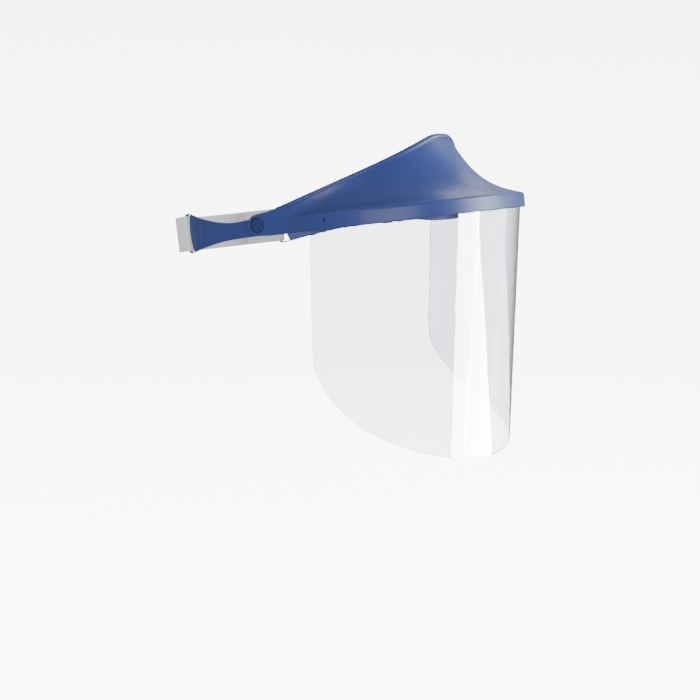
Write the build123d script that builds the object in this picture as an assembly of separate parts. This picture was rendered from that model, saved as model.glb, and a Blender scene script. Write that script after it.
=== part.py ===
"""Face shield worn on the head: a flip-up crown with a clear window, on a headband.

Worn frame: the origin is midway between the temple pivots, +X is the wearer's left,
-Y is forward and +Z is up. The headband and the brim lie in planes that rise towards the
front, so they are drawn level and then tilted by worn(). Millimetres throughout.
"""

from build123d import *
from math import atan2, cos, degrees, hypot, pi, radians, sin, sqrt, tan
import os

# ---- Driving dimensions ---------------------------------------------------------------
WEAR_PITCH = 7.4            # the band and the brim rise this much towards the front

BAND_HALF_WIDTH = 81.0      # outer face of the band at the pivots
BAND_FRONT, BAND_REAR = 95.5, 101.0
BAND_WALL = 2.2
BAND_EDGE = 0.45            # rounding of the band's long edges
BROW_TOP, BROW_BOTTOM, BROW_CHIN = 14.0, -7.6, -10.3
TEMPLE_TOP, TEMPLE_BOTTOM = 3.5, -7.2
BOSS_RADIUS, BOSS_INNER_X = 6.8, 77.6
SOCKET_SEAT_RADIUS, SOCKET_SEAT_DEPTH = 5.3, 1.6

ARM_FRAME_Y = 64.7          # the strap slot's working point on the arm
ARM_MID_Z = 0.1
ARM_END_HALF_HEIGHT, ARM_END_REACH, ARM_END_CORNER = 13.0, 3.6, 3.2
SLOT_HALF_HEIGHT, SLOT_REAR, SLOT_FRONT, SLOT_BOW = 11.9, 0.6, -2.2, 2.5
RIB_OFFSETS = (-9.8, -16.3)
RIB_WIDTH, RIB_PROUD, RIB_HALF_HEIGHT, RIB_ARC_RADIUS = 1.5, 0.6, 8.5, 30.0

STRAP_WIDTH, STRAP_THICKNESS, STRAP_CLEARANCE = 23.2, 1.5, 0.2
STRAP_DIP = 1.6             # how far the strap settles inwards behind the bar
DIP_START, DIP_END = 3.2, 10.0
TAIL_LENGTH = 28.0
PATCH_START, PATCH_LENGTH, PATCH_HEIGHT = 11.5, 15.0, 19.0

PAD_THICKNESS, PAD_TOP, PAD_BOTTOM, PAD_END_Y, PAD_EDGE = 6.0, 12.6, -7.0, -54.0, 1.6

PIVOT_GAP = 0.05            # running clearance on each side of a turning face
WASHER_THICKNESS, WASHER_RADIUS = 0.75, 6.2
EAR_THICKNESS, EAR_RADIUS = 2.8, 6.8
EAR_BORE_RADIUS, COUNTERBORE_RADIUS, COUNTERBORE_DEPTH = 3.05, 5.0, 1.6
PIN_RADIUS, PIN_HEAD_RADIUS, PIN_HEAD_THICKNESS = 3.0, 4.5, 1.3
PIN_DISH_RADIUS, PIN_DISH_DEPTH, PIN_SLOT_WIDTH, PIN_SLOT_DEPTH = 2.3, 0.5, 1.25, 0.8
PIN_NECK_RADIUS, PIN_BARB_RADIUS = 2.4, 2.75
SOCKET_RADIUS, SOCKET_THICKNESS = 5.2, 1.45

EAR_JOIN_Y = -8.0           # the flat ear meets the moulded crown wall here
EAR_ROOT_LENGTH, EAR_ROOT_HEIGHT = 5.2, 12.6   # the ear's root, buried in that wall
BRIM_HALF_WIDTH, BRIM_WIDEST_Y, BRIM_FRONT = 96.0, -60.0, 136.3
BRIM_SQUARENESS = 2.2       # exponent of the front outline; 2 is an ellipse
SKIRT_TOP, SKIRT_BOTTOM = 2.0, -7.5
CROWN_WALL = 2.2
CREASE_RADIUS = 1.6
CROWN_EDGE = 0.55           # rounding of the skirt's lower edge and of the ear's rim
LIP_FRONT, LIP_PEAK = 94.5, 45.8
LIP_FALL_PER_DEGREE, LIP_ROUNDING = 0.5, 9.0
BEAD_HEIGHT, BEAD_PROUD = 3.4, 0.95
BRIM_SLOPE, BRIM_SWEEP = 0.36, 3.2   # how the crown rises from the brim to the lip
FRONT_STATIONS = (0, 5, 10, 16, 24, 33, 42, 51, 60, 70, 80, 90)
SIDE_STATIONS = (0.17, 0.34, 0.5, 0.67, 0.84, 1.0)

WINDOW_THICKNESS, WINDOW_GAP = 1.0, 0.15
WINDOW_LEAN = 2.0           # the window closes in towards the chin, degrees
WINDOW_TOP = -0.3
WINDOW_REAR_Y = -41.0
WINDOW_SIDE_DEPTH, WINDOW_ARC_DEPTH, WINDOW_ARC_WIDTH = 59.0, 107.0, 162.0
PEG_ANGLES = (0, 30, -30, 62, -62)
PEG_RADIUS, PEG_HOLE_RADIUS, PEG_CAP_RADIUS, PEG_CAP_THICKNESS = 1.9, 2.1, 2.7, 1.0
PEG_HEIGHT, PEG_CAP_STANDOFF = -3.7, 4.5
LATCH_Y, LATCH_HEIGHT, LATCH_WIDTH, LATCH_MID_Z = -53.6, 2.8, 1.3, -2.1
LATCH_CLEARANCE, LATCH_REACH = 0.15, 1.5

EAR_INNER_X = BAND_HALF_WIDTH + WASHER_THICKNESS + 2 * PIVOT_GAP
EAR_OUTER_X = EAR_INNER_X + EAR_THICKNESS
LIP_HALF_WIDTH = EAR_OUTER_X / sqrt(1 - (EAR_JOIN_Y / LIP_FRONT) ** 2)
SINE, COSINE = sin(radians(WEAR_PITCH)), cos(radians(WEAR_PITCH))


# ---- Shared geometry ------------------------------------------------------------------
def worn(shape):
    """Tilts a shape drawn on the level band into the worn frame."""
    return shape.rotate(Axis.X, -WEAR_PITCH)


def worn_point(x, y, z):
    return x, y * COSINE + z * SINE, z * COSINE - y * SINE


def mirrored(shape):
    return shape.mirror(Plane.YZ)


def disc(radius, x_from, x_to):
    """A disc about the pivot axis on the wearer's left."""
    return Plane(origin=(x_from, 0, 0), x_dir=(0, 1, 0), z_dir=(1, 0, 0)) * Cylinder(
        radius, x_to - x_from, align=(Align.CENTER, Align.CENTER, Align.MIN))


def from_side(sketch_face, reach=130):
    """Extrudes a face drawn in (y, z) through the full width of the part."""
    side = Plane(origin=(-reach, 0, 0), x_dir=(0, 1, 0), z_dir=(1, 0, 0))
    return extrude(side * sketch_face, 2 * reach, dir=(1, 0, 0))


def brim_outline(t):
    """Skirt's outer face in plan; t is 0 in front, 1 at the widest point, 2 at the ear."""
    side = -1 if t < 0 else 1
    t = abs(t)
    if t <= 1:
        angle = t * pi / 2
        reach = BRIM_FRONT + BRIM_WIDEST_Y
        radius = ((sin(angle) / BRIM_HALF_WIDTH) ** BRIM_SQUARENESS
                  + (cos(angle) / reach) ** BRIM_SQUARENESS) ** (-1 / BRIM_SQUARENESS)
        return side * radius * sin(angle), BRIM_WIDEST_Y - radius * cos(angle)
    share = t - 1
    flare = (1 + cos(pi * share)) / 2
    return (side * (EAR_OUTER_X + (BRIM_HALF_WIDTH - EAR_OUTER_X) * flare),
            BRIM_WIDEST_Y + (EAR_JOIN_Y - BRIM_WIDEST_Y) * share)


def brim_inward(t):
    """Unit vector in plan that points inwards, square to the skirt."""
    if t == 0:
        return 0.0, 1.0
    if abs(t) == 2:
        return (-1.0 if t > 0 else 1.0), 0.0
    (xa, ya), (xb, yb) = brim_outline(t - 1e-4), brim_outline(t + 1e-4)
    length = hypot(xb - xa, yb - ya)
    return -(yb - ya) / length, (xb - xa) / length


def brim_inset(t, inset):
    (x, y), (nx, ny) = brim_outline(t), brim_inward(t)
    return x + nx * inset, y + ny * inset


def band_oval(inset):
    """The band's oval in plan, as a face: two half ellipses that meet at the pivots."""
    front = Ellipse(BAND_HALF_WIDTH - inset, BAND_FRONT - inset) & (Pos(0, -100) * Rectangle(400, 200))
    rear = Ellipse(BAND_HALF_WIDTH - inset, BAND_REAR - inset) & (Pos(0, 100) * Rectangle(400, 200))
    return front + rear


def arm_place(inset=0.0, along=0.0):
    """Point and directions at the arm's working point: (x, y), rearward, outward."""
    angle = ARM_ANGLE + along / ARM_PACE
    x, y = BAND_HALF_WIDTH * cos(angle), BAND_REAR * sin(angle)
    tx, ty = -BAND_HALF_WIDTH * sin(angle), BAND_REAR * cos(angle)
    length = hypot(tx, ty)
    tx, ty = tx / length, ty / length
    return (x - ty * inset, y + tx * inset), (tx, ty), (ty, -tx)


ARM_ANGLE = atan2(ARM_FRAME_Y / BAND_REAR, sqrt(1 - (ARM_FRAME_Y / BAND_REAR) ** 2))
ARM_PACE = hypot(BAND_HALF_WIDTH * sin(ARM_ANGLE), BAND_REAR * cos(ARM_ANGLE))


def arm_plane():
    """Plane tangent to the left arm at the slot: x runs rearwards, y up, z outwards."""
    (x, y), (tx, ty), (nx, ny) = arm_place()
    return Plane(origin=(x, y, 0), x_dir=(tx, ty, 0), z_dir=(nx, ny, 0))


# ---- Crown: brim, skirt, lip and ears in one moulding ----------------------------------
def lip_point(t):
    """Where the crown's section at t meets the lip: (inset from the skirt, height)."""
    (x, y), (nx, ny) = brim_outline(t), brim_inward(t)
    a, b = LIP_HALF_WIDTH, LIP_FRONT
    qa = (nx / a) ** 2 + (ny / b) ** 2
    qb = x * nx / a ** 2 + y * ny / b ** 2
    qc = (x / a) ** 2 + (y / b) ** 2 - 1
    inset = (-qb - sqrt(max(qb * qb - qa * qc, 0))) / qa
    bearing = degrees(atan2(abs(x + nx * inset) / a, -(y + ny * inset) / b))
    fall = (bearing ** 4 + LIP_ROUNDING ** 4) ** 0.25 - LIP_ROUNDING
    return max(inset, 0.0), LIP_PEAK - LIP_FALL_PER_DEGREE * fall


def crown_profile(t, samples=9):
    """Section of the crown at t, as lists of (inset, height) for each of its ten edges."""
    inset, lip = lip_point(t)
    rise = lip - SKIRT_TOP

    def wall(w):
        return inset * w, SKIRT_TOP + rise * (BRIM_SLOPE * w + (1 - BRIM_SLOPE) * w ** BRIM_SWEEP)

    def wall_inside(w):
        (ua, za), (ub, zb) = wall(w - 0.001), wall(w + 0.001)
        length = hypot(ub - ua, zb - za)
        u, z = wall(w)
        return u + CROWN_WALL * (zb - za) / length, z - CROWN_WALL * (ub - ua) / length

    def w_at(distance, start):
        """Parameter whose point lies this far, in a straight line, from the start point."""
        low, high = 0.0, 1.0
        for _ in range(40):
            middle = (low + high) / 2
            u, z = wall(middle)
            near = hypot(u - start[0], z - start[1]) < distance
            if (start == wall(0)) == near:
                low = middle
            else:
                high = middle
        return (low + high) / 2

    w_first = w_at(CREASE_RADIUS, wall(0))
    w_last = w_at(BEAD_HEIGHT + 0.5, wall(1))
    steps = [w_first + (w_last - w_first) * k / (samples - 1) for k in range(samples)]
    outer = [wall(w) for w in steps]
    (u0, z0), (u1, z1) = outer[-1], wall(1)
    length = hypot(u1 - u0, z1 - z0)
    du, dz = (u1 - u0) / length, (z1 - z0) / length
    bead = BEAD_PROUD * min(1.0, inset / 6.0)

    def from_bead(up, out):
        """Point beside the lip: up along the wall and out from its outer face."""
        return u0 + du * up - dz * out, z0 + dz * up + du * out

    slope = atan2(wall(0.02)[1] - wall(0)[1], wall(0.02)[0])
    corner = (CROWN_WALL, SKIRT_TOP - CROWN_WALL * tan((pi / 2 - slope) / 2))
    inner = [corner] + [wall_inside(w) for w in steps[1:]]
    crease = (0.0, SKIRT_TOP)
    top = BEAD_HEIGHT - 0.25
    inner_shoulder = from_bead(top, -CROWN_WALL)
    return [
        ("line", [(0.0, SKIRT_BOTTOM + CROWN_EDGE), (0.0, SKIRT_TOP - CREASE_RADIUS)]),
        ("bezier", [(0.0, SKIRT_TOP - CREASE_RADIUS), crease, outer[0]]),
        ("spline", outer),
        ("bezier", [outer[-1], from_bead(0.3, bead * 1.35), from_bead(top - 0.2, bead * 1.35),
                    from_bead(top, bead * 0.35)]),
        ("bezier", [from_bead(top, bead * 0.35), from_bead(top + 1.0, -0.1),
                    from_bead(top + 1.0, -CROWN_WALL + 0.1), inner_shoulder]),
        ("spline", [inner_shoulder] + inner[::-1]),
        ("line", [corner, (CROWN_WALL, SKIRT_BOTTOM + CROWN_EDGE)]),
        ("bezier", [(CROWN_WALL, SKIRT_BOTTOM + CROWN_EDGE), (CROWN_WALL, SKIRT_BOTTOM),
                    (CROWN_WALL - CROWN_EDGE, SKIRT_BOTTOM)]),
        ("line", [(CROWN_WALL - CROWN_EDGE, SKIRT_BOTTOM), (CROWN_EDGE, SKIRT_BOTTOM)]),
        ("bezier", [(CROWN_EDGE, SKIRT_BOTTOM), (0.0, SKIRT_BOTTOM),
                    (0.0, SKIRT_BOTTOM + CROWN_EDGE)]),
    ]


def crown_section(t):
    (x, y), (nx, ny) = brim_outline(t), brim_inward(t)
    edges = []
    for kind, points in crown_profile(t):
        places = [(x + nx * u, y + ny * u, z) for u, z in points]
        if kind == "line":
            edges.append(Edge.make_line(*places))
        elif kind == "bezier":
            edges.append(Edge.make_bezier(*places))
        else:
            last = len(places) - 1
            edges.append(Edge.make_spline([Vector(*p) for p in places],
                                          parameters=[k / last for k in range(last + 1)]))
    return Wire(edges)


def crown_stations():
    front = [angle / 90 for angle in FRONT_STATIONS]
    half = front + [1 + share for share in SIDE_STATIONS]
    return [-t for t in half[:0:-1]] + half


def crown_ear():
    """Flat ear about the pivot, running forward onto the moulded wall."""
    top = lip_point(2)[1]
    outline = make_hull([
        *Circle(EAR_RADIUS).edges(),
        Edge.make_line((EAR_JOIN_Y, SKIRT_BOTTOM), (EAR_JOIN_Y, top)),
    ])
    outline += Pos(EAR_JOIN_Y - 2.5, 0) * Rectangle(EAR_ROOT_LENGTH, EAR_ROOT_HEIGHT)
    plane = Plane(origin=(EAR_INNER_X, 0, 0), x_dir=(0, 1, 0), z_dir=(1, 0, 0))
    ear = extrude(plane * outline, EAR_THICKNESS, dir=(1, 0, 0))
    outer_face = ear.faces().sort_by(Axis.X)[-1]
    rim = outer_face.edges().filter_by(lambda e: e.center().Y > EAR_JOIN_Y + 0.5)
    return fillet(rim, CROWN_EDGE)


def window_pegs():
    """Mushroom pegs on the inside of the skirt that the window hangs on."""
    pegs = []
    for angle in PEG_ANGLES:
        plane = peg_plane(angle)
        stem = plane * Cylinder(PEG_RADIUS, PEG_CAP_STANDOFF - CROWN_WALL + 1.4,
                                align=(Align.CENTER, Align.CENTER, Align.MIN))
        cap = plane * Pos(0, 0, PEG_CAP_STANDOFF - CROWN_WALL + 0.8) * Cylinder(
            PEG_CAP_RADIUS, PEG_CAP_THICKNESS, align=(Align.CENTER, Align.CENTER, Align.MIN))
        pegs += [stem, cap]
    return pegs


def peg_plane(angle):
    """Plane on the skirt, 0.8 mm inside its inner face, facing inwards."""
    t = angle / 90
    (x, y), (nx, ny) = brim_inset(t, CROWN_WALL - 0.8), brim_inward(t)
    return Plane(origin=(x, y, PEG_HEIGHT), x_dir=(0, 0, 1), z_dir=(nx, ny, 0))


def latch_plane(side):
    t = 1 + (LATCH_Y - BRIM_WIDEST_Y) / (EAR_JOIN_Y - BRIM_WIDEST_Y)
    (x, y), (nx, ny) = brim_outline(side * t), brim_inward(side * t)
    return Plane(origin=(x, y, LATCH_MID_Z), x_dir=(0, 0, 1), z_dir=(nx, ny, 0))


def make_crown():
    shell = Solid.make_loft([crown_section(t) for t in crown_stations()])
    crown = Part() + shell
    ear = crown_ear()
    crown += [ear, mirrored(ear)]
    crown += window_pegs()
    for side in (1, -1):
        crown -= latch_plane(side) * Box(LATCH_HEIGHT, LATCH_WIDTH, 2 * CROWN_WALL + 1)
    for hole in (disc(EAR_BORE_RADIUS, EAR_INNER_X - 1, EAR_OUTER_X + 1),
                 disc(COUNTERBORE_RADIUS, EAR_OUTER_X - COUNTERBORE_DEPTH, EAR_OUTER_X + 1)):
        crown -= [hole, mirrored(hole)]
    return worn(crown)


# ---- Window ---------------------------------------------------------------------------
def window_slice(height_worn, inset):
    """The sheet's face in plan at a worn height, as points from one rear end to the other."""
    lean = tan(radians(WINDOW_LEAN))
    points = []
    for k in range(-48, 49):
        t = k / 48 * 1.62
        (nx, ny) = brim_inward(t)
        x, y = brim_inset(t, inset)
        x, y, z = worn_point(x, y, WINDOW_TOP)
        drop = z - height_worn
        points.append((x + nx * lean * drop, y + ny * lean * drop, height_worn))
    return points


def window_strip(height_worn):
    inset = CROWN_WALL + WINDOW_GAP
    outer = window_slice(height_worn, inset)
    inner = window_slice(height_worn, inset + WINDOW_THICKNESS)[::-1]
    last = len(outer) - 1
    even = [k / last for k in range(last + 1)]
    return Wire([
        Edge.make_spline([Vector(*p) for p in outer], parameters=even),
        Edge.make_line(outer[-1], inner[0]),
        Edge.make_spline([Vector(*p) for p in inner], parameters=even),
        Edge.make_line(inner[-1], outer[0]),
    ])


def window_side_shape():
    """Side view of the window in worn (y, z): what is kept of the bent sheet."""
    edge, run = [], 0.0
    previous = None
    for k in range(0, 161):
        t = k / 160 * 1.6
        x, y = brim_inset(t, CROWN_WALL + WINDOW_GAP)
        if previous:
            run += hypot(x - previous[0], y - previous[1])
        previous = (x, y)
        if y > WINDOW_REAR_Y or run > WINDOW_ARC_WIDTH:
            break
        _, y_worn, z_worn = worn_point(x, y, WINDOW_TOP)
        depth = WINDOW_SIDE_DEPTH + WINDOW_ARC_DEPTH * sqrt(1 - (run / WINDOW_ARC_WIDTH) ** 2)
        back_in = -brim_inward(t)[1] * tan(radians(WINDOW_LEAN)) * depth
        if k % 8 == 0 or y > WINDOW_REAR_Y - 12 and k % 3 == 0:
            edge.append((y_worn - back_in, z_worn - depth))
    return edge, worn_point(0, WINDOW_REAR_Y, WINDOW_TOP)[1]


def make_window():
    sheet = Part() + Solid.make_loft([window_strip(-185.0), window_strip(45.0)], ruled=True)
    edge, rear = window_side_shape()
    front = -BRIM_FRONT - 20
    last = edge[-1]
    lower = Edge.make_spline([Vector(y, z, 0) for y, z in edge])
    turn_z = last[1] + 16
    outline = Wire([
        Edge.make_line((front, edge[0][1]), edge[0]),
        lower,
        Edge.make_bezier(last, (rear, last[1] + 7), (rear, turn_z)),
        Edge.make_line((rear, turn_z), (rear, window_top_at(rear))),
        Edge.make_line((rear, window_top_at(rear)), (front, window_top_at(front))),
        Edge.make_line((front, window_top_at(front)), (front, edge[0][1])),
    ])
    sheet &= from_side(Face(outline))
    for angle in PEG_ANGLES:
        sheet -= worn(peg_plane(angle) * Cylinder(PEG_HOLE_RADIUS, 14))
    for side in (1, -1):
        tab_depth = CROWN_WALL + WINDOW_GAP + 0.5 - (CROWN_WALL - LATCH_REACH)
        tab = latch_plane(side) * Pos(0, 0, CROWN_WALL - LATCH_REACH + tab_depth / 2) * Box(
            LATCH_HEIGHT - 2 * LATCH_CLEARANCE, LATCH_WIDTH - 2 * LATCH_CLEARANCE, tab_depth)
        sheet += worn(tab)
    return sheet


def window_top_at(y_worn):
    """Worn height of the window's straight top edge at a worn depth."""
    return (WINDOW_TOP - SINE * y_worn) / COSINE


# ---- Headband -------------------------------------------------------------------------
def band_side_shape():
    """Side view of the band in level (y, z): brow, temple and flared arm."""
    top = [(-60, BROW_TOP), (-38, 10.6), (-16, 6.4), (4, 4.5), (21.7, TEMPLE_TOP),
           (34.9, 5.1), (44.1, 7.2), (52.3, 9.5), (61.2, 12.5), (70, 13.7)]
    bottom = [(70, -13.5), (62, -12.7), (50.5, -10.6), (42, -9.3), (32.2, -8.0),
              (19.0, TEMPLE_BOTTOM), (0, -7.0), (-20, BROW_BOTTOM)]
    front = -BAND_FRONT - 6
    top_edge = Edge.make_spline([Vector(y, z, 0) for y, z in top],
                                tangents=[Vector(1, 0, 0), Vector(1, 0.05, 0)])
    bottom_edge = Edge.make_spline([Vector(y, z, 0) for y, z in bottom],
                                   tangents=[Vector(-1, 0.05, 0), Vector(-1, 0, 0)])
    chin = Edge.make_spline([Vector(-84, BROW_BOTTOM, 0), Vector(-90, -9.1, 0),
                             Vector(-BAND_FRONT, BROW_CHIN, 0)],
                            tangents=[Vector(-1, 0, 0), Vector(-1, -0.15, 0)])
    return Face(Wire([
        Edge.make_line((front, BROW_TOP), (-60, BROW_TOP)),
        top_edge,
        Edge.make_line((70, 13.7), (70, -13.5)),
        bottom_edge,
        Edge.make_line((-20, BROW_BOTTOM), (-84, BROW_BOTTOM)),
        chin,
        Edge.make_line((-BAND_FRONT, BROW_CHIN), (front, BROW_CHIN)),
        Edge.make_line((front, BROW_CHIN), (front, BROW_TOP)),
    ]))


def arm_end_trim():
    """What is cut away behind the arm so that it ends in a rounded loop."""
    outline = Pos((ARM_END_REACH - 12) / 2, ARM_MID_Z) * RectangleRounded(
        ARM_END_REACH + 12, 2 * ARM_END_HALF_HEIGHT, ARM_END_CORNER)
    away = Pos(-6 + 30, 0) * Rectangle(60, 60)
    plane = arm_plane()
    return extrude(plane * (away - outline), 14, both=True)


def strap_slot():
    """Slot for the strap: its front wall bows towards the bar, whose front is rounded."""
    top, bottom = ARM_MID_Z + SLOT_HALF_HEIGHT, ARM_MID_Z - SLOT_HALF_HEIGHT
    corner, rear = SLOT_FRONT - SLOT_BOW, SLOT_REAR + BAND_WALL / 2
    outline = Wire([
        Edge.make_line((rear, top), (rear, bottom)),
        Edge.make_line((rear, bottom), (corner, bottom)),
        Edge.make_three_point_arc((corner, bottom), (SLOT_FRONT, ARM_MID_Z), (corner, top)),
        Edge.make_line((corner, top), (rear, top)),
    ])
    (x, y), _, _ = arm_place(BAND_WALL / 2, rear)
    nose = Pos(x, y, ARM_MID_Z) * Cylinder(BAND_WALL / 2 - 0.06, 2 * SLOT_HALF_HEIGHT + 0.4)
    return extrude(arm_plane() * Face(outline), 10, both=True) - nose


def arm_ribs():
    """Two bowed ribs on the outside of the arm, for the fingertips."""
    shell = extrude(band_oval(-RIB_PROUD) - band_oval(0.6), 40, both=True)
    ribs = Part()
    for offset in RIB_OFFSETS:
        centre = offset - RIB_ARC_RADIUS
        ring = Circle(RIB_ARC_RADIUS + RIB_WIDTH / 2) - Circle(RIB_ARC_RADIUS - RIB_WIDTH / 2)
        ring = Pos(centre, ARM_MID_Z - 1.5) * ring
        ring &= Pos(offset, ARM_MID_Z - 1.5) * Rectangle(20, 2 * RIB_HALF_HEIGHT)
        ribs += shell & extrude(arm_plane() * ring, 6, both=True)
    return ribs


def make_headband():
    band = extrude(band_oval(0) - band_oval(BAND_WALL), 30, both=True)
    band &= from_side(band_side_shape())
    band = fillet(band.edges().filter_by(lambda e: e.length > 15), BAND_EDGE)
    ribs = arm_ribs()
    boss = disc(BOSS_RADIUS, BOSS_INNER_X, BAND_HALF_WIDTH)
    for part in (boss, ribs):
        band += [part, mirrored(part)]
    cuts = [arm_end_trim(), strap_slot(),
            disc(PIN_RADIUS + PIVOT_GAP, BOSS_INNER_X - 1, BAND_HALF_WIDTH + 1),
            disc(SOCKET_SEAT_RADIUS, BOSS_INNER_X - 1, BOSS_INNER_X + SOCKET_SEAT_DEPTH)]
    for cut in cuts:
        band -= [cut, mirrored(cut)]
    return worn(band)


def make_brow_pad():
    pad = extrude(band_oval(BAND_WALL) - band_oval(BAND_WALL + PAD_THICKNESS), 30, both=True)
    front = -BAND_FRONT - 5
    side = Pos((front + PAD_END_Y) / 2, (PAD_TOP + PAD_BOTTOM) / 2) * Rectangle(
        PAD_END_Y - front, PAD_TOP - PAD_BOTTOM)
    pad &= from_side(side)
    inner = pad.edges().filter_by(lambda e: e.length > 60).group_by(
        lambda e: (e @ 0.5).Y)[-1]
    pad = fillet(inner, PAD_EDGE)
    return worn(pad)


# ---- Strap ----------------------------------------------------------------------------
def strap_run(side_offset, start, end, dip, count):
    """Points along the left half of the oval, beside the strap's middle line."""
    points = []
    for k in range(count + 1):
        along = start + (end - start) * k / count
        share = min(1.0, max(0.0, (along - DIP_START) / (DIP_END - DIP_START)))
        settle = dip * (1 - cos(pi * share)) / 2
        (x, y), _, _ = arm_place(settle - side_offset, along)
        points.append((x, y))
    return points


def extruded_strip(points_a, points_b, height):
    wire = Wire([
        Edge.make_spline([Vector(x, y, 0) for x, y in points_a]),
        Edge.make_line(points_a[-1], points_b[-1]),
        Edge.make_spline([Vector(x, y, 0) for x, y in points_b[::-1]]),
        Edge.make_line(points_b[0], points_a[0]),
    ])
    lift = Pos(0, 0, ARM_MID_Z - height / 2)
    return extrude(lift * Face(wire), height, dir=(0, 0, 1))


def make_rear_strap():
    near, far = STRAP_CLEARANCE, STRAP_CLEARANCE + STRAP_THICKNESS
    half_turn = (pi / 2 - ARM_ANGLE) * ARM_PACE
    bar_mid = SLOT_REAR + BAND_WALL / 2
    fine = strap_run(far, bar_mid, DIP_END + 2, STRAP_DIP, 14), strap_run(
        near, bar_mid, DIP_END + 2, STRAP_DIP, 14)
    coarse = strap_run(far, DIP_END + 4, half_turn, STRAP_DIP, 16), strap_run(
        near, DIP_END + 4, half_turn, STRAP_DIP, 16)
    outer, inner = fine[0] + coarse[0], fine[1] + coarse[1]
    for side in (outer, inner):
        side += [(-x, y) for x, y in side[-2::-1]]
    strap = Part() + extruded_strip(outer, inner, STRAP_WIDTH)
    tail = extruded_strip(strap_run(-BAND_WALL - near, bar_mid, TAIL_LENGTH, 0, 12),
                          strap_run(-BAND_WALL - far, bar_mid, TAIL_LENGTH, 0, 12), STRAP_WIDTH)
    (x, y), (tx, ty), _ = arm_place(BAND_WALL / 2, bar_mid)
    turn = Circle(BAND_WALL / 2 + far) - Circle(BAND_WALL / 2 + near)
    turn &= Pos(-10, 0) * Rectangle(20, 20)
    loop = Plane(origin=(x, y, ARM_MID_Z - STRAP_WIDTH / 2), x_dir=(tx, ty, 0)) * turn
    loop = extrude(loop, STRAP_WIDTH, dir=(0, 0, 1))
    for part in (tail, loop):
        strap += [part, mirrored(part)]
    return worn(strap)


def make_hook_patch():
    """Hook patch between the strap and its folded-back tail, on the left."""
    outer = STRAP_CLEARANCE - STRAP_DIP
    inner = -BAND_WALL - STRAP_CLEARANCE
    end = PATCH_START + PATCH_LENGTH
    return worn(extruded_strip(strap_run(outer, PATCH_START, end, 0, 8),
                               strap_run(inner, PATCH_START, end, 0, 8), PATCH_HEIGHT))


# ---- Pivots ---------------------------------------------------------------------------
def make_pivot_pin():
    """Snap rivet: head in the ear's counterbore, barbed tip in the socket; on the left."""
    seat = EAR_OUTER_X - COUNTERBORE_DEPTH + PIVOT_GAP
    face = seat + PIN_HEAD_THICKNESS
    head = disc(PIN_HEAD_RADIUS, seat, face)
    head = fillet(head.edges().group_by(Axis.X)[-1], 0.4)
    pin = Part() + head
    pin -= disc(PIN_DISH_RADIUS, face - PIN_DISH_DEPTH, face + 1)
    slot = Pos(face, 0, 0) * Box(2 * PIN_SLOT_DEPTH, PIN_SLOT_WIDTH, 2 * PIN_HEAD_RADIUS - 1.6)
    pin -= [slot, slot.rotate(Axis.X, 90)]
    tip = BOSS_INNER_X + 0.15
    shoulder = BOSS_INNER_X + SOCKET_SEAT_DEPTH + 0.02
    pin += disc(PIN_RADIUS, shoulder, seat)
    pin += disc(PIN_NECK_RADIUS, tip + 0.5, shoulder)
    barb = disc(PIN_BARB_RADIUS, tip, tip + 0.5)
    pin += chamfer(barb.edges().group_by(Axis.X)[0], 0.35)
    return pin.rotate(Axis.X, -WEAR_PITCH)


def make_pivot_washer():
    washer = disc(WASHER_RADIUS, BAND_HALF_WIDTH, BAND_HALF_WIDTH + WASHER_THICKNESS)
    return washer - disc(PIN_RADIUS + PIVOT_GAP, BAND_HALF_WIDTH - 1, BAND_HALF_WIDTH + 2)


def make_pivot_socket():
    top = BOSS_INNER_X + SOCKET_SEAT_DEPTH
    socket = disc(SOCKET_RADIUS, top - SOCKET_THICKNESS, top)
    socket = chamfer(socket.edges().group_by(Axis.X)[0], 0.3)
    socket -= disc(PIN_NECK_RADIUS + PIVOT_GAP, top - 5, top + 1)
    socket -= disc(PIN_BARB_RADIUS + 0.15, top - 5, BOSS_INNER_X + 0.15 + 0.5 + PIVOT_GAP)
    return socket


def main():
    os.makedirs("parts", exist_ok=True)
    nodes = {
        "crown": make_crown(),
        "window": make_window(),
        "headband": make_headband(),
        "brow_pad": make_brow_pad(),
        "rear_strap": make_rear_strap(),
    }
    for name, part in (("hook_patch", make_hook_patch()), ("pivot_pin", make_pivot_pin()),
                       ("pivot_washer", make_pivot_washer()),
                       ("pivot_socket", make_pivot_socket())):
        nodes[name + "_left"] = part
        nodes[name + "_right"] = mirrored(part)
    for name, part in nodes.items():
        export_step(part, "parts/" + name + ".step")
        box = part.bounding_box()
        print(name, len(part.solids()), round(part.volume), box.min, box.max)


main()
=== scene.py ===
"""Looks for the face shield: materials, soft pieces, floor, lights and camera. Metres."""

import random
from math import asin, cos, hypot, pi, radians, sin, sqrt

import bmesh
import bpy
from mathutils import Matrix, Quaternion, Vector


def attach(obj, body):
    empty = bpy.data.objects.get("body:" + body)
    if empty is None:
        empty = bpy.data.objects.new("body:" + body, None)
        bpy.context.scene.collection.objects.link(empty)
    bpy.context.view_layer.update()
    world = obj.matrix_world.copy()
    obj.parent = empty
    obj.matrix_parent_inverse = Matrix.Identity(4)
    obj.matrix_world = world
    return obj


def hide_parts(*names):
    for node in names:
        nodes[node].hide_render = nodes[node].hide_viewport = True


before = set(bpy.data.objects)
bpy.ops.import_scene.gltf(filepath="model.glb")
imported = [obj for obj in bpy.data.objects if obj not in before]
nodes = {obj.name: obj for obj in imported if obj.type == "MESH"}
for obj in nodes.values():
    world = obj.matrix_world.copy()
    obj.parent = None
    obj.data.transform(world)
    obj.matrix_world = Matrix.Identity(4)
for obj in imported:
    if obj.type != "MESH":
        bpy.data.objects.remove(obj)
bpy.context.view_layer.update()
random.seed(7)

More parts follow.
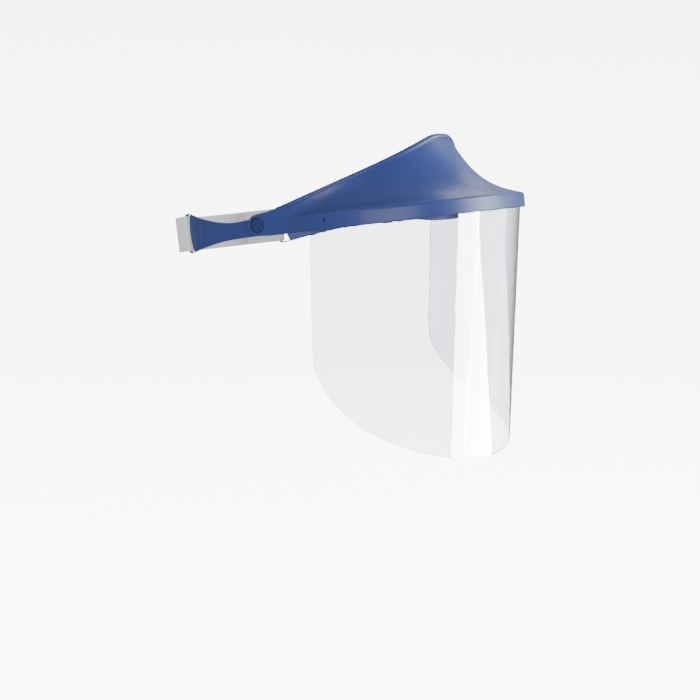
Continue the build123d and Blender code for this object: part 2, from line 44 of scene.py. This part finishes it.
# The band's oval and tilt, as in part.py. The arm's working point is at ARM_Y on the oval
WEAR_PITCH = radians(7.4)
HALF_WIDTH, FRONT, REAR, WALL = 0.081, 0.0955, 0.101, 0.0022
ARM_Y, ARM_Z = 0.0647, 0.0001
ARM_ANGLE = asin(ARM_Y / REAR)
PACE = hypot(HALF_WIDTH * sin(ARM_ANGLE), REAR * cos(ARM_ANGLE))    # metres per radian there
TILT = Matrix.Rotation(-WEAR_PITCH, 4, "X")

# The strap, as in part.py. Places along the arm run rearwards from its working point
STRAP_WIDTH, STRAP_THICK, STRAP_GAP = 0.0232, 0.0015, 0.0002
BAR_MID, TAIL = 0.0006 + WALL / 2, 0.028
STRAP_DIP, DIP_START, DIP_END = 0.0016, 0.0032, 0.010       # it settles inwards past the bar
RIB_PITCH, RIB_DEPTH, THREAD_PITCH = 0.00155, 0.00006, 0.0009

# The hook patches and their stitches
PATCH_START, PATCH_LENGTH, PATCH_HEIGHT = 0.0115, 0.015, 0.019
TAPE_HALF, TAPE_CORNER = 0.00024, 0.0022
HOOK_PITCH, HOOK_MARGIN, HOOK_CLEARANCE = 0.00115, 0.0015, 0.00003
HOOK_FOOT, HOOK_TAPER, HOOK_LEAN = 0.00022, 0.6, 0.8
STITCH_LENGTH, STITCH_PITCH, STITCH_RADIUS, STITCH_WANDER = 0.0019, 0.0025, 0.00017, 0.00005
SEAM_MARGIN, TAIL_SEAM = 0.0012, 0.0008

# The brow pad: heights on the band, thickness, and half its sweep round the oval
PAD_LOW, PAD_HIGH, PAD_THICK, PAD_SWEEP = -0.0070, 0.0126, 0.0059, radians(52.5)
PAD_EDGE, PAD_GAP = 0.0006, 0.00003

# Floor, sky and camera
FLOOR_Z, FLOOR_RADIUS, FLOOR_SWEEP, FLOOR_LIP = -0.46, 3.0, 1.6, 0.6
SKY_COLOUR, SKY_STRENGTH = (0.93, 0.96, 1.0, 1), 0.42
EYE, HEADING, RISE = Vector((-1.14626, -0.60948, 0.06804)), radians(27.115), radians(-6.863)
SENSOR, LENS = 36.0, 99.7714


# ---- Node helpers ----------------------------------------------------------------------
class Tree:
    """A material's nodes, built with short calls."""

    def __init__(self, name):
        self.material = bpy.data.materials.new(name)
        self.material.use_nodes = True
        self.nodes = self.material.node_tree.nodes
        self.links = self.material.node_tree.links
        self.shader = self.nodes["Principled BSDF"]
        self.place = self.add("ShaderNodeTexCoord").outputs["Object"]

    def add(self, kind, **values):
        node = self.nodes.new(kind)
        for key, value in values.items():
            setattr(node, key, value)
        return node

    def link(self, source, target):
        self.links.new(source, target)

    def set(self, **values):
        """Plain values on the shader's own sockets."""
        for key, value in values.items():
            self.shader.inputs[key.replace("_", " ")].default_value = value

    def noise(self, scale, detail=4.0, rough=0.5):
        node = self.add("ShaderNodeTexNoise")
        node.inputs["Scale"].default_value = scale
        node.inputs["Detail"].default_value = detail
        node.inputs["Roughness"].default_value = rough
        self.link(self.place, node.inputs["Vector"])
        return node.outputs["Fac"]

    def cells(self, scale):
        node = self.add("ShaderNodeTexVoronoi")
        node.inputs["Scale"].default_value = scale
        self.link(self.place, node.inputs["Vector"])
        return node.outputs["Distance"]

    def weave_coords(self):
        """Metres along and across the webbing, which the strap carries on every vertex."""
        node = self.add("ShaderNodeAttribute", attribute_name="weave")
        split = self.add("ShaderNodeSeparateXYZ")
        self.link(node.outputs["Vector"], split.inputs[0])
        return split.outputs["X"], split.outputs["Y"]

    def maths(self, operation, *values):
        """A Math node; each value is a number or another node's output."""
        node = self.add("ShaderNodeMath", operation=operation)
        for socket, value in zip(node.inputs, values):
            if isinstance(value, (int, float)):
                socket.default_value = value
            else:
                self.link(value, socket)
        return node.outputs["Value"]

    def span(self, source, low, high, start=0.0, end=1.0):
        """The source's values from start to end, stretched to run from low to high."""
        node = self.add("ShaderNodeMapRange")
        for key, value in (("From Min", start), ("From Max", end), ("To Min", low),
                           ("To Max", high)):
            node.inputs[key].default_value = value
        self.link(source, node.inputs["Value"])
        return node.outputs["Result"]

    def base_colour(self, source, *stops):
        """Base colour between two stops, each a place on the source's range and a colour."""
        node = self.add("ShaderNodeValToRGB")
        for element, (place, colour) in zip(node.color_ramp.elements, stops):
            element.position = place
            element.color = (*colour, 1)
        self.link(source, node.inputs["Fac"])
        self.link(node.outputs["Color"], self.shader.inputs["Base Color"])

    def roughness(self, source, low, high, start=0.0, end=1.0):
        self.link(self.span(source, low, high, start, end), self.shader.inputs["Roughness"])

    def bump(self, height, strength, distance, normal=None):
        node = self.add("ShaderNodeBump")
        node.inputs["Strength"].default_value = strength
        node.inputs["Distance"].default_value = distance
        self.link(height, node.inputs["Height"])
        if normal is not None:
            self.link(normal, node.inputs["Normal"])
        self.link(node.outputs["Normal"], self.shader.inputs["Normal"])


# ---- Materials -------------------------------------------------------------------------
def moulded(name, dark, light, rough=(0.36, 0.45), edge=0.0005):
    """Injection-moulded plastic: faint mottling, fine orange peel, rubbed edges."""
    t = Tree(name)
    t.base_colour(t.noise(scale=38, detail=3), (0.25, dark), (0.75, light))
    t.roughness(t.noise(scale=90, detail=5, rough=0.6), *rough, start=0.3, end=0.7)
    t.set(IOR=1.49, Coat_Weight=0.12, Coat_Roughness=0.12)
    bevel = t.add("ShaderNodeBevel", samples=6)
    bevel.inputs["Radius"].default_value = edge
    peel = t.noise(scale=420, detail=2)
    t.bump(peel, strength=0.05, distance=0.00008, normal=bevel.outputs["Normal"])
    return t.material


def clear_sheet():
    """Clear window: smooth, with a trace of grey and of handling haze. Rays from lamps, and
    rays that other pieces reflect, pass it unbent, so that the lamps which only the window
    mirrors don't light what is behind it."""
    t = Tree("clear_sheet")
    t.set(Base_Color=(0.60, 0.625, 0.66, 1), IOR=1.5, Transmission_Weight=1.0)
    t.roughness(t.noise(scale=26, rough=0.6), 0.008, 0.03, start=0.35, end=0.75)
    through = t.add("ShaderNodeBsdfTransparent")
    through.inputs["Color"].default_value = (0.9, 0.91, 0.92, 1)
    path = t.add("ShaderNodeLightPath")
    surface = t.shader.outputs["BSDF"]
    for ray in ("Is Reflection Ray", "Is Diffuse Ray", "Is Shadow Ray"):
        mix = t.add("ShaderNodeMixShader")
        t.link(path.outputs[ray], mix.inputs["Fac"])
        t.link(surface, mix.inputs[1])
        t.link(through.outputs["BSDF"], mix.inputs[2])
        surface = mix.outputs["Shader"]
    t.link(surface, t.nodes["Material Output"].inputs["Surface"])
    return t.material


def foam():
    """Dark open-celled foam of the brow pad, with painted shade in its pores."""
    t = Tree("brow_foam")
    cell = t.cells(scale=1400)
    # Darker near each cell's middle, where the bump sinks into a pore: painted shade in the
    # pores.
    t.base_colour(cell, (0.1, (0.028, 0.03, 0.034)), (0.8, (0.075, 0.08, 0.088)))
    t.roughness(t.noise(scale=60), 0.82, 0.96)
    t.set(Sheen_Weight=0.25, Sheen_Roughness=0.5)
    lumps = t.maths("MULTIPLY", t.noise(scale=220, detail=3), 0.6)
    t.bump(t.maths("ADD", cell, lumps), strength=0.55, distance=0.0004)
    return t.material


def webbing():
    """White elastic: twill ribs along the strap, crossed by fine rubber cords; painted shade
    darkens the low parts of the weave.
    """
    t = Tree("white_elastic")
    along, across = t.weave_coords()
    rib = t.maths("SINE", t.maths("MULTIPLY", across, 2 * pi / RIB_PITCH))
    twill = t.maths("MULTIPLY", rib, 1.4)       # how far a rib shifts the cords that cross it
    thread = t.maths("SINE", t.maths("ADD", t.maths("MULTIPLY", along, 2 * pi / THREAD_PITCH),
                                     twill))
    weave = t.maths("ADD", t.maths("MULTIPLY", rib, 0.5), t.maths("MULTIPLY", thread, 0.35))
    fuzz = t.maths("MULTIPLY", t.noise(scale=2600, detail=2), 0.5)
    height = t.maths("ADD", weave, fuzz)
    # Base colour darker where the weave is low: painted shade in its grooves; the fuzz adds
    # random tone.
    t.base_colour(t.span(height, 0, 1, start=-1, end=1.3),
                  (0.0, (0.74, 0.745, 0.765)), (0.55, (0.86, 0.86, 0.87)))
    t.roughness(t.noise(scale=150), 0.66, 0.82)
    t.set(Sheen_Weight=0.35, Sheen_Roughness=0.4)
    t.bump(height, strength=0.4, distance=0.00014)
    return t.material


def hook_tape():
    """Pale tape whose surface is broken up by small hooks, with painted shade in the low ground
    between its bumps.
    """
    t = Tree("hook_tape")
    cell = t.cells(scale=1100)
    # Darker away from each cell's middle, where the bump is low: painted shade between the
    # bumps.
    t.base_colour(cell, (0.0, (0.72, 0.72, 0.74)), (0.7, (0.45, 0.45, 0.47)))
    t.roughness(t.noise(scale=200), 0.5, 0.7)
    t.bump(t.maths("MULTIPLY", cell, -1), strength=0.8, distance=0.0005)
    return t.material


def white_thread():
    t = Tree("white_thread")
    t.base_colour(t.noise(scale=1800), (0.3, (0.68, 0.68, 0.7)), (0.7, (0.88, 0.88, 0.88)))
    t.roughness(t.noise(scale=900), 0.5, 0.65)
    t.set(Sheen_Weight=0.3)
    return t.material


def plain_floor():
    t = Tree("floor_paper")
    t.base_colour(t.noise(scale=1.2, detail=2),
                  (0.3, (0.86, 0.86, 0.865)), (0.7, (0.88, 0.88, 0.885)))
    t.set(Roughness=0.9, Specular_IOR_Level=0.1)
    return t.material


def paint(obj, material):
    obj.data.materials.clear()
    obj.data.materials.append(material)


# ---- Places round the band's oval ------------------------------------------------------
def oval_point(angle, depth, outward, height):
    """Point beside the band's oval; depth is how far that half of the oval reaches along Y,
    and outward is measured from the band's outer face."""
    nx, ny = depth * cos(angle), HALF_WIDTH * sin(angle)
    length = hypot(nx, ny)
    return Vector((HALF_WIDTH * cos(angle) + nx / length * outward,
                   depth * sin(angle) + ny / length * outward, height))


def arm_place(along, outward, height):
    """Point beside the left arm and the rear of the oval; along runs rearwards."""
    return oval_point(ARM_ANGLE + along / PACE, REAR, outward, height)


def side_place(side, along, outward, across):
    """Point beside the arm on either side; side is 1 for the wearer's left, -1 for the right."""
    p = arm_place(along, outward, ARM_Z + across)
    return Vector((side * p.x, p.y, p.z))


def ease(share):
    """Smooth step from 0 to 1."""
    share = min(1.0, max(0.0, share))
    return (1 - cos(pi * share)) / 2


def quarter_round(share):
    """Height of a rounded edge, from 0 at the edge itself to 1 where the rounding ends."""
    return sqrt(1 - (1 - min(1.0, share)) ** 2)


# ---- Mesh helpers ----------------------------------------------------------------------
def skin(bm, rings, closed=True):
    """Quads between neighbouring rings of vertices."""
    for a, b in zip(rings, rings[1:]):
        for k in range(len(a) if closed else len(a) - 1):
            n = (k + 1) % len(a)
            bm.faces.new((a[k], a[n], b[n], b[k]))


def solid(bm, rings):
    """Skin over the rings, closed by a flat face at each end."""
    skin(bm, rings)
    bm.faces.new(rings[0])
    bm.faces.new(rings[-1])


def mesh_object(name, bm, material, smooth=True):
    """Object that rides on the headband, from a mesh drawn in the band's level frame."""
    bmesh.ops.recalc_face_normals(bm, faces=bm.faces)
    mesh = bpy.data.meshes.new(name)
    bm.normal_update()
    bm.to_mesh(mesh)
    bm.free()
    mesh.transform(TILT)
    for face in mesh.polygons:
        face.use_smooth = smooth
    obj = bpy.data.objects.new(name, mesh)
    bpy.context.scene.collection.objects.link(obj)
    mesh.materials.append(material)
    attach(obj, "headband")
    return obj


# ---- Rear strap ------------------------------------------------------------------------
def strap_line():
    """Middle line of the whole strap in plan: left tail from its free end, round the left
    bar, the rear run to the middle of the back, and all of that mirrored."""
    tail_steps, turn_steps, run_steps, nudge = 44, 16, 90, 0.0001
    mid = STRAP_GAP + STRAP_THICK / 2
    tail = [arm_place(TAIL + (BAR_MID - TAIL) * k / tail_steps, -WALL - mid, 0)
            for k in range(tail_steps)]
    hub = arm_place(BAR_MID, -WALL / 2, 0)
    back = (arm_place(BAR_MID + nudge, 0, 0) - arm_place(BAR_MID - nudge, 0, 0)).normalized()
    out = Vector((back.y, -back.x, 0))
    radius = WALL / 2 + mid
    turn = []
    for k in range(turn_steps + 1):
        angle = -pi / 2 + pi * k / turn_steps
        turn.append(hub - back * (cos(angle) * radius) + out * (sin(angle) * radius))
    length = (pi / 2 - ARM_ANGLE) * PACE - BAR_MID
    run = []
    for k in range(1, run_steps + 1):
        along = BAR_MID + length * k / run_steps
        settle = STRAP_DIP * ease((along - DIP_START) / (DIP_END - DIP_START))
        run.append(arm_place(along, mid - settle, 0))
    half = tail + turn + run
    return half + [Vector((-p.x, p.y, 0)) for p in half[-2::-1]]


def strap_frames():
    """Each point of the line, with the unit vector to the strap's outer face and the length
    from the strap's start."""
    line = strap_line()
    frames = []
    travelled = 0.0
    for k, p in enumerate(line):
        before = line[max(k - 1, 0)]
        after = line[min(k + 1, len(line) - 1)]
        along = (after - before).normalized()
        travelled += (p - before).length
        frames.append((p, Vector((along.y, -along.x, 0)), travelled))
    return frames


def strap_section():
    """The strap's section as (across, through): two ribbed faces and rounded edges."""
    rows, edge_steps = 44, 6
    half_width, half_thick, face_inset = STRAP_WIDTH / 2, STRAP_THICK / 2, 0.00007
    radius, edge_thick = half_thick * 0.85, half_thick * 0.92
    points = []
    for face in (1, -1):        # outer face downwards, then inner face upwards
        for k in range(rows + 1):
            across = face * (half_width - radius) * (1 - 2 * k / rows)
            rib = RIB_DEPTH * cos(2 * pi * across / RIB_PITCH)
            points.append((across, face * (half_thick - face_inset + rib)))
        for k in range(1, edge_steps):
            angle = pi / 2 - pi * k / edge_steps
            points.append((-face * (half_width - radius + radius * cos(angle)),
                           face * edge_thick * sin(angle)))
    return points


def make_strap(material):
    """Elastic webbing, swept along the strap's line."""
    section = strap_section()
    bm = bmesh.new()
    weave = bm.verts.layers.float_vector.new("weave")
    rings = []
    for p, out, along in strap_frames():
        ring = []
        for across, through in section:
            v = bm.verts.new(p + out * through + Vector((0, 0, ARM_Z + across)))
            v[weave] = Vector((along, across, through))
            ring.append(v)
        rings.append(ring)
    skin(bm, rings)
    for ring in (rings[0], rings[-1]):
        centre = bm.verts.new(sum((v.co for v in ring), Vector()) / len(ring))
        centre[weave] = ring[0][weave]
        for v, following in zip(ring, ring[1:] + ring[:1]):
            bm.faces.new((v, following, centre))
    strap = mesh_object("rear_strap_webbing", bm, material)
    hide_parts("rear_strap")
    return strap


# ---- Hook patches and their stitching --------------------------------------------------
def tape_face(bm, side, outward):
    """One face of the backing tape, as a grid with rounded corners; returns its rim."""
    columns, rows = 24, 26
    grid = []
    for i in range(columns + 1):
        u = i / columns
        end = min(u, 1 - u) * PATCH_LENGTH / TAPE_CORNER
        half = PATCH_HEIGHT / 2 - TAPE_CORNER * (1 - quarter_round(end))
        along = PATCH_START + PATCH_LENGTH * u
        grid.append([bm.verts.new(side_place(side, along, outward, half * (2 * j / rows - 1)))
                     for j in range(rows + 1)])
    skin(bm, grid, closed=False)
    return ([row[0] for row in grid] + grid[-1][1:]
            + [row[-1] for row in grid[-2::-1]] + grid[0][-2:0:-1])


def add_hook(bm, side, along, across, root, tip):
    """One hook: a square post that leans along the tape, from root to tip in depth."""
    corners = ((-1, -1), (1, -1), (1, 1), (-1, 1))
    foot = [side_place(side, along + dx * HOOK_FOOT, root, across + dz * HOOK_FOOT)
            for dx, dz in corners]
    top = [side_place(side, along + (dx * HOOK_TAPER + HOOK_LEAN) * HOOK_FOOT, tip,
                      across + dz * HOOK_TAPER * HOOK_FOOT)
           for dx, dz in corners]
    solid(bm, [[bm.verts.new(p) for p in ring] for ring in (foot, top)])


def make_hook_patch(name, side, material):
    """Backing tape between the strap and its tail, with rows of hooks on both faces."""
    outer, inner = STRAP_GAP - STRAP_DIP, -WALL - STRAP_GAP
    middle, reach = (outer + inner) / 2, (outer - inner) / 2 - HOOK_CLEARANCE
    root = TAPE_HALF * 0.8      # a hook starts a little inside the tape
    bm = bmesh.new()
    skin(bm, [tape_face(bm, side, middle + face * TAPE_HALF) for face in (1, -1)])
    columns = int((PATCH_LENGTH - 2 * HOOK_MARGIN) / HOOK_PITCH) + 1
    rows = int((PATCH_HEIGHT - 2 * HOOK_MARGIN) / HOOK_PITCH) + 1
    for face in (1, -1):
        for i in range(columns):
            for j in range(rows):
                stagger = (j % 2) * HOOK_PITCH / 2
                add_hook(bm, side, PATCH_START + HOOK_MARGIN + i * HOOK_PITCH + stagger,
                         -PATCH_HEIGHT / 2 + HOOK_MARGIN + j * HOOK_PITCH,
                         middle + face * root, middle + face * reach)
    patch = mesh_object(name + "_tape", bm, material, smooth=False)
    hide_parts(name)


def add_stitch(bm, start, end, outward):
    """One stitch: a short thread that rises out of the webbing and dips back in."""
    steps, sides = 8, 7
    rise, sunk, thinnest = 1.5, 0.5, 0.55       # in thread radii
    cross = (end - start).normalized().cross(outward).normalized()
    rings = []
    for k in range(steps + 1):
        swell = sin(pi * k / steps)
        height = STITCH_RADIUS * (rise * swell - sunk)
        centre = start.lerp(end, k / steps) + outward * height
        size = STITCH_RADIUS * (thinnest + (1 - thinnest) * swell)
        rings.append([bm.verts.new(centre + (cross * cos(a) + outward * sin(a)) * size)
                      for a in (2 * pi * m / sides for m in range(sides))])
    solid(bm, rings)


def make_stitching(side, name, material):
    """Box of stitches that sews the hook patch to the tail, and a row near its free end."""
    face = -WALL - STRAP_GAP - STRAP_THICK
    low, high = PATCH_START + SEAM_MARGIN, PATCH_START + PATCH_LENGTH - SEAM_MARGIN
    half, last_row, lead = PATCH_HEIGHT / 2 - SEAM_MARGIN, TAIL - TAIL_SEAM, 0.12
    runs = [((low, -half), (high, -half)), ((high, -half), (high, half)),
            ((high, half), (low, half)), ((low, half), (low, -half)),
            ((last_row, -half), (last_row, half))]
    bm = bmesh.new()
    for (a0, c0), (a1, c1) in runs:
        middle = (a0 + a1) / 2
        inward = (side_place(side, middle, face - STITCH_LENGTH, 0)
                  - side_place(side, middle, face, 0)).normalized()
        count = round(hypot(a1 - a0, c1 - c0) / STITCH_PITCH)
        for k in range(count):
            ends = []
            for share in ((k + lead) / count, (k + lead + STITCH_LENGTH / STITCH_PITCH) / count):
                wander = random.uniform(-STITCH_WANDER, STITCH_WANDER)
                ends.append(side_place(side, a0 + (a1 - a0) * share + wander, face,
                                       c0 + (c1 - c0) * share + wander))
            add_stitch(bm, *ends, inward)
    mesh_object(name, bm, material)


# ---- Brow pad --------------------------------------------------------------------------
def make_brow_pad(material):
    """Foam strip inside the brow band: flat on the band, crowned towards the forehead."""
    columns, rows = 150, 26
    end_share, edge_share = 0.045, 0.26     # how much of each half is rounded off
    end_height, bulge, end_thick = 0.62, 0.14, 0.1
    middle, half_height = (PAD_HIGH + PAD_LOW) / 2, (PAD_HIGH - PAD_LOW) / 2
    bm = bmesh.new()
    rings = []
    for i in range(columns + 1):
        u = -1 + 2 * i / columns
        angle = u * PAD_SWEEP - pi / 2
        rounded = quarter_round((1 - abs(u)) / end_share)
        half = half_height * (end_height + (1 - end_height) * rounded)
        front, back = [], []
        for j in range(rows + 1):
            v = -1 + 2 * j / rows
            crown = quarter_round((1 - abs(v)) / edge_share) * (1 - bulge * v * v)
            depth = max(PAD_EDGE, PAD_THICK * crown * max(end_thick, rounded))
            height = middle + half * v
            front.append(oval_point(angle, FRONT, -WALL - depth, height))
            back.append(oval_point(angle, FRONT, -WALL - PAD_GAP, height))
        rings.append([bm.verts.new(p) for p in front + back[::-1]])
    solid(bm, rings)
    pad = mesh_object("brow_pad_foam", bm, material)
    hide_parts("brow_pad")


# ---- Floor, lamps and camera -----------------------------------------------------------
def make_floor():
    """Pale floor that curves up into a low wall all round, far from the object."""
    flat_rings, curve_steps, turns = 5, 14, 96
    profile = [(FLOOR_RADIUS * k / flat_rings, FLOOR_Z) for k in range(1, flat_rings + 1)]
    for k in range(1, curve_steps + 1):
        angle = pi / 2 * k / curve_steps
        profile.append((FLOOR_RADIUS + FLOOR_SWEEP * sin(angle),
                        FLOOR_Z + FLOOR_SWEEP * (1 - cos(angle))))
    profile.append((FLOOR_RADIUS + FLOOR_SWEEP, FLOOR_Z + FLOOR_SWEEP + FLOOR_LIP))
    bm = bmesh.new()
    rings = [[bm.verts.new((radius * cos(2 * pi * k / turns), radius * sin(2 * pi * k / turns),
                            height)) for k in range(turns)]
             for radius, height in profile]
    skin(bm, rings)
    bm.faces.new(rings[0])
    bmesh.ops.recalc_face_normals(bm, faces=bm.faces)
    mesh = bpy.data.meshes.new("floor")
    bm.to_mesh(mesh)
    bm.free()
    for face in mesh.polygons:
        face.use_smooth = len(face.vertices) == 4
    obj = bpy.data.objects.new("floor", mesh)
    bpy.context.scene.collection.objects.link(obj)
    mesh.materials.append(plain_floor())
    obj.visible_diffuse = obj.visible_glossy = False    # the lamps and the sky light the object
    return obj


def make_sky():
    world = bpy.data.worlds.new("studio")
    bpy.context.scene.world = world
    world.use_nodes = True
    background = world.node_tree.nodes["Background"]
    background.inputs["Color"].default_value = SKY_COLOUR
    background.inputs["Strength"].default_value = SKY_STRENGTH


def softbox(name, place, target, size, power, only=(), roll=0.0, colour=(1, 1, 1)):
    """Rectangular studio light, rolled by degrees; with only, it lights just those objects."""
    lamp = bpy.data.lights.new(name, "AREA")
    lamp.shape = "RECTANGLE"
    lamp.size, lamp.size_y = size
    lamp.energy = power
    lamp.color = colour
    obj = bpy.data.objects.new(name, lamp)
    obj.location = place
    aim = (Vector(target) - Vector(place)).to_track_quat("-Z", "Y")
    obj.rotation_euler = (aim @ Quaternion((0, 0, 1), radians(roll))).to_euler()
    obj.visible_camera = False
    bpy.context.scene.collection.objects.link(obj)
    if only:
        group = bpy.data.collections.new(name + "_on")
        for receiver in only:
            group.objects.link(receiver)
        obj.light_linking.receiver_collection = group


def light_strips():
    """Two strips that only the window mirrors: side by side, they make the tall reflection
    that widens towards its lower edge. A weak one does the same for the crown."""
    window, crown = [nodes["window"]], [nodes["crown"]]
    toward, sideways = Vector((-0.4686, 0.8834, 0)), Vector((0.8834, 0.4686, 0))
    width, shift, drop = 0.395, 0.378, Vector((0, 0, -0.249))
    upright = Vector((0.456, -0.958, -0.12))
    slanted = upright + sideways * shift + drop
    softbox("strip_upright", upright, upright + toward, (width, 0.62), power=76, only=window)
    softbox("strip_slanted", slanted, slanted + toward, (0.30, 0.615), power=57, only=window,
            roll=61.4)
    softbox("strip_on_crown", upright, upright + toward, (width, 1.0), power=3, only=crown)


def light_object(strap, floor):
    """The lamps that shape the object itself, and the wash that keeps the floor pale."""
    brow, centre, cool = (0, -0.1, 0), (0, 0, 0), (0.85, 0.92, 1.0)
    opaque = [obj for obj in bpy.context.scene.objects
              if obj.type == "MESH" and obj not in (floor, nodes["window"])]
    softbox("key_front_right", (1.2, -1.45, 0.5), brow, (1.1, 1.1), power=44, colour=cool)
    softbox("brim_glow", (1.75, 0.3, 0.95), brow, (1.1, 0.7), power=4, colour=cool)
    softbox("lip_gleam", (-1.3, 0.2, 1.5), centre, (0.5, 0.5), power=6)
    softbox("fill_side", (-1.7, -1.1, -0.1), centre, (2.2, 1.0), power=25, only=opaque)
    softbox("fill_band", (0.1, -1.3, -0.45), brow, (0.9, 0.9), power=26,
            only=[nodes["headband"]])
    softbox("fill_rear", (-1.0, 1.7, 0.35), (0, 0.05, 0), (1.3, 1.0), power=19, only=[strap])
    softbox("floor_wash", (0, 0, 5.2), centre, (7.0, 7.0), power=5200, only=[floor])


def make_camera():
    look = Vector((cos(RISE) * cos(HEADING), cos(RISE) * sin(HEADING), sin(RISE)))
    data = bpy.data.cameras.new("camera")
    data.sensor_width = SENSOR
    data.lens = LENS
    data.clip_start = 0.05
    data.clip_end = 100
    camera = bpy.data.objects.new("camera", data)
    camera.location = EYE
    camera.rotation_euler = look.to_track_quat("-Z", "Y").to_euler()
    bpy.context.scene.collection.objects.link(camera)
    bpy.context.scene.camera = camera


# ---- The scene -------------------------------------------------------------------------
# The rivet's own blue, made darker than the crown's as painted shade of the recess in the ear
# where it sits.
rivet_blue_painted_shade = moulded("blue_plastic_rivet", (0.020, 0.038, 0.165), (0.024, 0.045, 0.185),
                     edge=0.0003)
washer_white = moulded("natural_washer", (0.62, 0.62, 0.6), (0.68, 0.68, 0.66), rough=(0.4, 0.5))
paint(nodes["crown"], moulded("blue_plastic", (0.030, 0.056, 0.245), (0.035, 0.064, 0.27)))
paint(nodes["headband"], moulded("blue_plastic_band", (0.028, 0.053, 0.225),
                                 (0.032, 0.060, 0.25)))
paint(nodes["window"], clear_sheet())
for side_name in ("left", "right"):
    paint(nodes["pivot_pin_" + side_name], rivet_blue_painted_shade)
    paint(nodes["pivot_socket_" + side_name], rivet_blue_painted_shade)
    paint(nodes["pivot_washer_" + side_name], washer_white)

strap_object = make_strap(webbing())
tape, thread = hook_tape(), white_thread()
for side_name, side_sign in (("left", 1), ("right", -1)):
    make_hook_patch("hook_patch_" + side_name, side_sign, tape)
    make_stitching(side_sign, "tail_stitching_" + side_name, thread)
make_brow_pad(foam())

floor_object = make_floor()
make_sky()
light_strips()
light_object(strap_object, floor_object)
make_camera()
